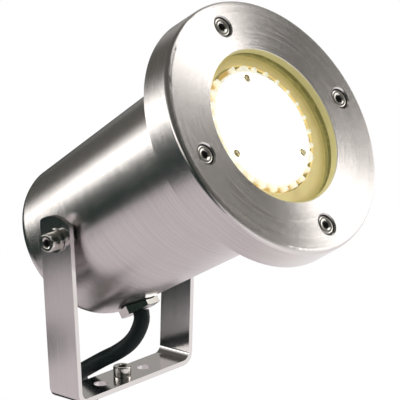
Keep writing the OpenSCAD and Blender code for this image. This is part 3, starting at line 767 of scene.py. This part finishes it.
NODE_FINISH = {
    "bracket": "strip", "can": "can", "front_ring": "ring", "flange": "inner", "pivot_bosses": "inner",
    "holder_strap": "inner", "pivot_washers": "polished", "gland_body": "polished",
    "gland_locknut": "polished", "gland_press_ring": "polished", "strap_screws": "polished",
    "terminal_screws": "polished", "lamp_pins": "polished", "cable_ferrules": "polished",
    "friction_washers": "gasket", "front_gasket": "silicone", "rear_gasket": "silicone",
    "gland_washer": "gasket", "gland_seal": "gasket", "gland_inner_washer": "gasket",
    "cable_inside": "cable", "glass": "glass", "lamp_plate": "plate", "lamp_heat_sink": "cast",
    "lamp_cover": "cover", "lamp_board": "white", "lamp_chips": "phosphor", "lamp_screws": "dark",
    "lamp_base": "white", "lampholder": "ceramic", "terminal_block": "white", "lamp_leads": "white",
    "cable_core_leads": "brown", "cable_cores": "brown", "cable_tie": "tie",
}


# ---------------------------------------------------------------- cable

# Points of the free cable in millimetres, from the gland to the coil and from the coil to its end
ROUTE = [
    (-0.9, -11.2, 26.8), (-2.3, -9.8, 21.5), (-2.8, -6, 16.7), (-3.5, -0.5, 12.4), (-5.3, 4, 9.6),
    (-6.6, 9, 6.3), (-7.8, 14, 2.9), (-6, 20, -0.5), (-1, 26, -3), (6, 31.5, -5.5), (14, 36.5, -8.5),
    (20.5, 41.5, -13), (27, 46, -20), (34.5, 49, -29), (42, 52, -38), (45.6, 57.5, -44.5),
    (46.8, 65, -48.6),
]
TAIL = [(43.8, 90, -46), (46, 101, -49.2), (45.5, 112, -50.9), (42, 122, -50.9)]
COIL_TURNS = 6
COIL_LAYERS = 2
POINTS_A_TURN = 20
# Share of each turn in which the cable moves over to the next one
SHIFT_SHARE = 0.20
TUBE_SIDES = 20
STEPS_A_KNOT = 3


def cable_exit():
    """Where the cable leaves the gland: the middle of the outer end of its inside piece."""
    low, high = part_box("cable_inside")
    radius = settings().cable_d / 2
    outer = Vector((0, low[1] + radius * math.cos(BEAM_TILT), low[2] + radius * math.sin(BEAM_TILT)))
    return Vector(((low[0] + high[0]) / 2, outer.y, outer.z))


def smooth_line(knots, steps):
    """Points of a smooth line through the knots."""
    before = [2 * knots[0] - knots[1]] + knots
    after = before + [2 * knots[-1] - knots[-2]]
    line = []
    for a, b, c, d in zip(after, after[1:], after[2:], after[3:]):
        for k in range(steps):
            t = k / steps
            line.append(0.5 * (2 * b + (c - a) * t + (2 * a - 5 * b + 4 * c - d) * t ** 2
                               + (3 * b - a - 3 * c + d) * t ** 3))
    return line + [knots[-1]]


def tube_mesh(line, radius, sides):
    """Round tube along a line, closed at both ends."""
    bm = bmesh.new()
    heading = (line[1] - line[0]).normalized()
    across = heading.orthogonal().normalized()
    rings = []
    for k, point in enumerate(line):
        ahead = (line[min(k + 1, len(line) - 1)] - line[max(k - 1, 0)]).normalized()
        across = (across - ahead * across.dot(ahead)).normalized()
        other = ahead.cross(across)
        rings.append([bm.verts.new(point + radius * (math.cos(a) * across + math.sin(a) * other))
                      for a in (math.tau * m / sides for m in range(sides))])
    for a, b in zip(rings, rings[1:]):
        join_rings(bm, a, b)
    bm.faces.new(list(reversed(rings[0])))
    bm.faces.new(rings[-1])
    bmesh.ops.recalc_face_normals(bm, faces=bm.faces)
    mesh = bpy.data.meshes.new("tube")
    bm.to_mesh(mesh)
    bm.free()
    smooth(mesh)
    return mesh


def coil_points():
    """Turns from the outside in on the surface, then from the inside out on top."""
    thick = settings().cable_d
    middle = node_middle("cable_coil")
    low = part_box("cable_coil")[0]
    outer = node_size("cable_coil", 0) / 2 - thick / 2
    layer_turns = COIL_TURNS // COIL_LAYERS
    inner = outer - (layer_turns - 1) * thick
    bottom = low[2] + thick / 2
    points = []
    for k in range(COIL_TURNS * POINTS_A_TURN + 1):
        turn = min(k // POINTS_A_TURN, COIL_TURNS - 1)
        shift = max(0.0, (k / POINTS_A_TURN - turn - 1 + SHIFT_SHARE) / SHIFT_SHARE)
        moved = shift * shift * (3 - 2 * shift)
        if turn < layer_turns - 1:
            radius = outer - (turn + moved) * thick
        elif turn == layer_turns - 1:
            radius = inner
        else:
            radius = min(outer, inner + (turn - layer_turns + moved) * thick)
        climbed = moved if turn == layer_turns - 1 else float(turn >= layer_turns)
        angle = math.tau * k / POINTS_A_TURN
        points.append(Vector((middle.x + radius * math.cos(angle), middle.y + radius * math.sin(angle),
                              bottom + thick * climbed)))
    return points


class PONDLIGHT_OT_cable(bpy.types.Operator):
    """Makes the free cable with its coil"""

    bl_idname = "pondlight.cable"
    bl_label = "Cable"

    def execute(self, context):
        start = cable_exit()
        route = [Vector(p) * MM for p in ROUTE]
        tail = [Vector(p) * MM for p in TAIL]
        line = smooth_line([start] + route + coil_points() + tail, STEPS_A_KNOT)
        tube = tube_mesh(line, settings().cable_d / 2, TUBE_SIDES)
        piece = new_piece("free_cable", tube, finishes()["cable"])
        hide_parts("cable", "cable_coil")
        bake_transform(piece)
        return {"FINISHED"}


# ---------------------------------------------------------------- metal parts

class PONDLIGHT_OT_finishes(bpy.types.Operator):
    """Gives every CAD node its finish"""

    bl_idname = "pondlight.finishes"
    bl_label = "Finishes"

    def execute(self, context):
        for name, key in NODE_FINISH.items():
            paint_node(name, finishes()[key])
        return {"FINISHED"}


class PONDLIGHT_OT_screws(bpy.types.Operator):
    """Makes the cap screws of the front ring, the tilt pivot and the base"""

    bl_idname = "pondlight.screws"
    bl_label = "Cap screws"

    def execute(self, context):
        high = settings().screw_thread
        face = ring_face_reach()
        ring_radius, ring_turn = face_screw_circle()
        make_screws("ring_screws", RING_SCREW_LONG, 4, ring_radius, face - RING_SCREW_SUNK - high,
                    ring_turn, 0.0, HEAD, "face_screws", "head")
        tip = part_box("pivot_screws")[1][0]
        make_screws("tilt_screws", TILT_SCREW_LONG, 2, tip - high, 0.0, 0.0, math.pi / 2,
                    HEAD, "pivot_screws", "head")
        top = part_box("base_screw")[1][2]
        make_screws("foot_screw", FOOT_SCREW_LONG, 1, 0.0, top - high, 0.0, 0.0,
                    Matrix.Identity(4), "base_screw", "base")
        return {"FINISHED"}


def ring_face_reach():
    """Distance of the ring's face from the tilt axis, along the beam."""
    ring = frame["nodes"]["front_ring"].data
    return max((v.co - PIVOT).dot(BEAM) for v in ring.vertices)


def face_screw_circle():
    """Radius and turn of the circle of face screws, from the CAD screw that is furthest across."""
    to_head = HEAD.inverted()
    spots = [to_head @ v.co for v in frame["nodes"]["face_screws"].data.vertices]
    screw = [p for p in spots if p.x > abs(p.y)]
    x = (min(p.x for p in screw) + max(p.x for p in screw)) / 2
    y = (min(p.y for p in screw) + max(p.y for p in screw)) / 2
    return math.hypot(x, y), math.atan2(y, x)


# ---------------------------------------------------------------- stage

AIM = PIVOT + Vector((-0.3, -40.4, 14.9)) * MM
SENSOR = 36
FLOOR_HALF = 3.0
WHITE = (1, 1, 1, 1)
STUDIO_DARK = (0.012, 0.024, 0.020, 1)
STUDIO_BRIGHT = (3.3, 3.2, 3.05, 1)
WORLD_STRENGTH = 0.55
# Soft lamps: place, size of the panel in metres, and power in watts
LAMPS = {
    "overhead": ((-0.10, 0.10, 1.10), (0.50, 0.50), 9),
    "left": ((-1.10, 0.55, 0.50), (0.5, 0.7), 7),
    "front": ((-0.35, -1.20, 0.45), (0.7, 0.5), 5),
}


class PONDLIGHT_OT_camera(bpy.types.Operator):
    """Sets the camera"""

    bl_idname = "pondlight.camera"
    bl_label = "Camera"

    def execute(self, context):
        s = settings()
        back = Vector((math.sin(s.view_turn) * math.cos(s.view_rise),
                       -math.cos(s.view_turn) * math.cos(s.view_rise), math.sin(s.view_rise)))
        data = bpy.data.cameras.new("camera")
        data.lens = s.lens
        data.sensor_width = SENSOR
        camera = bpy.data.objects.new("camera", data)
        context.collection.objects.link(camera)
        turn = (-back).to_track_quat("-Z", "Y").to_matrix().to_4x4()
        camera.matrix_world = (Matrix.Translation(AIM + back * s.view_far) @ turn
                               @ Matrix.Rotation(s.view_roll, 4, "Z"))
        context.scene.camera = camera
        return {"FINISHED"}


def split_rays(finish, plain, white, mirrored, share=None):
    """Ends in white for the camera, or a share of it, mirrored in reflections, and plain for the rest."""
    camera = finish.add("ShaderNodeLightPath", {}, {}, output="Is Camera Ray")
    glossy = Wire(finish, camera.socket.node.outputs["Is Glossy Ray"])
    direct = camera if share is None else camera * share
    first = finish.add("ShaderNodeMixShader", {}, {0: direct, 1: plain, 2: white})
    finish.add_output(finish.add("ShaderNodeMixShader", {}, {0: glossy, 1: first, 2: mirrored}))


def floor_material():
    """Pale floor: white to the camera, pale near the object and dark far off in reflections."""
    finish = Finish("floor")
    x, y, _ = finish.parts(finish.place())
    away = (x * x + y * y) ** 0.5
    # Far off behind, the floor is mirrored dark, and a little sooner on the right
    right_side = (x * 0.645 + y * 0.764).between(0.004, 0.024)
    far = (away + right_side * 0.07).between(0.300, 0.330)
    behind = (x - y).between(-0.06, 0.10, 1, 0) * far
    front = (x - y).between(0.03, 0.18)
    # A small patch of painted shade, seen only in reflections, which darkens the side of the gland that
    # mirrors it
    painted_shade_patch = (((x + 0.152) ** 2 + (y - 0.155) ** 2) ** 0.5).between(0.022, 0.038)
    pale = finish.blend(painted_shade_patch, colour((0.12, 0.125, 0.115)), colour((0.66, 0.60, 0.615)))
    near = finish.blend(front, pale, colour((1.0, 0.97, 0.96)))
    seen = finish.blend(behind, near, STUDIO_DARK)
    plain = finish.add("ShaderNodeBsdfDiffuse", {}, {"Color": colour((0.80, 0.79, 0.79))})
    white = finish.add("ShaderNodeEmission", {}, {"Color": WHITE})
    mirrored = finish.add("ShaderNodeEmission", {}, {"Color": seen})
    split_rays(finish, plain, white, mirrored, away.between(0.16, 0.45, 0.86, 1.0))
    return finish.material


def studio_world():
    """White to the camera; in reflections a backdrop, two soft boxes, a dark gap and a grey ceiling."""
    world = bpy.data.worlds.new("studio")
    bpy.context.scene.world = world
    finish = Finish(world=world)
    way = finish.add("ShaderNodeTexCoord", {}, {}, output="Generated")
    x, y, z = finish.parts(way)
    sky = z.between(0.0, 0.08) * (1.0 - x.between(-0.65, -0.50, 1, 0) * y.between(-0.4, 0.0, 1, 0))
    backdrop = z.between(0.02, 0.10) * z.between(0.15, 0.27, 1, 0) * x.between(-0.30, 0.10, 1, 0)
    backdrop = backdrop * y.between(-0.2, 0.3)
    right = x.between(0.45, 0.75) * z.between(0.15, 0.40, 1, 0)
    left_far = finish.lobe(way, (-0.735, 0.62, 0.27), 0.93, 0.99)
    right_far = finish.lobe(way, (0.72, 0.61, 0.33), 0.88, 0.97)
    low_box = finish.lobe(way, (0.87, -0.49, -0.02), 0.90, 0.985)
    high_box = finish.lobe(way, (0.57, -0.18, 0.80), 0.915, 0.99)
    seen = finish.blend(sky, STUDIO_DARK, colour((0.115, 0.110, 0.098)))
    seen = finish.blend(left_far, seen, colour((0.70, 0.68, 0.66)))
    seen = finish.blend(right, seen, colour((0.62, 0.60, 0.55)))
    seen = finish.blend(right_far, seen, colour((0.40, 0.39, 0.37)))
    seen = finish.blend((backdrop + low_box + high_box).clipped(), seen, STUDIO_BRIGHT)
    plain = finish.add("ShaderNodeBackground", {}, {"Color": WHITE, "Strength": WORLD_STRENGTH})
    white = finish.add("ShaderNodeBackground", {}, {"Color": WHITE, "Strength": 1.0})
    mirrored = finish.add("ShaderNodeBackground", {}, {"Color": seen, "Strength": 1.0})
    split_rays(finish, plain, white, mirrored)


def soft_lamp(name, spot, size, power):
    """A soft panel that shines on the tilt axis and isn't seen in reflections."""
    data = bpy.data.lights.new(name, "AREA")
    data.shape = "RECTANGLE"
    data.size, data.size_y = size
    data.energy = power
    lamp = bpy.data.objects.new(name, data)
    bpy.context.collection.objects.link(lamp)
    lamp.visible_glossy = False
    lamp.location = spot
    lamp.rotation_mode = "QUATERNION"
    lamp.rotation_quaternion = (PIVOT - Vector(spot)).to_track_quat("-Z", "Y")


class PONDLIGHT_OT_stage(bpy.types.Operator):
    """Makes the floor, the world and the soft lamps"""

    bl_idname = "pondlight.stage"
    bl_label = "Stage"

    def execute(self, context):
        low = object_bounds()[0].z
        mesh = bpy.data.meshes.new("floor")
        corners = ((-1, -1), (1, -1), (1, 1), (-1, 1))
        mesh.from_pydata([(x * FLOOR_HALF, y * FLOOR_HALF, low) for x, y in corners], [], [(0, 1, 2, 3)])
        floor = new_piece("floor", mesh, floor_material())
        floor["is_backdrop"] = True
        studio_world()
        for name, (spot, size, power) in LAMPS.items():
            soft_lamp(name, spot, size, power)
        context.scene.view_settings.view_transform = "Standard"
        return {"FINISHED"}


class PONDLIGHT_PT_panel(bpy.types.Panel):
    """Shows the pond light's settings and the buttons of its steps"""

    bl_label = "Pond light"
    bl_idname = "PONDLIGHT_PT_panel"
    bl_space_type = "VIEW_3D"
    bl_region_type = "UI"
    bl_category = "Pond light"

    def draw(self, context):
        for name in PondLightSettings.__annotations__:
            self.layout.prop(context.scene.pond_light, name)
        for operator in OPERATORS:
            self.layout.operator(operator.bl_idname)


OPERATORS = (PONDLIGHT_OT_camera, PONDLIGHT_OT_cable, PONDLIGHT_OT_finishes, PONDLIGHT_OT_screws,
             PONDLIGHT_OT_stage)
CLASSES = (PondLightSettings,) + OPERATORS + (PONDLIGHT_PT_panel,)


def register():
    for cls in CLASSES:
        bpy.utils.register_class(cls)
    bpy.types.Scene.pond_light = bpy.props.PointerProperty(type=PondLightSettings)


def unregister():
    del bpy.types.Scene.pond_light
    for cls in reversed(CLASSES):
        bpy.utils.unregister_class(cls)


def main():
    """Makes every piece and the stage."""
    register()
    bpy.ops.pondlight.camera()
    bpy.ops.pondlight.cable()
    bpy.ops.pondlight.finishes()
    bpy.ops.pondlight.screws()
    bpy.ops.pondlight.stage()


if __name__ == "__main__":
    main()
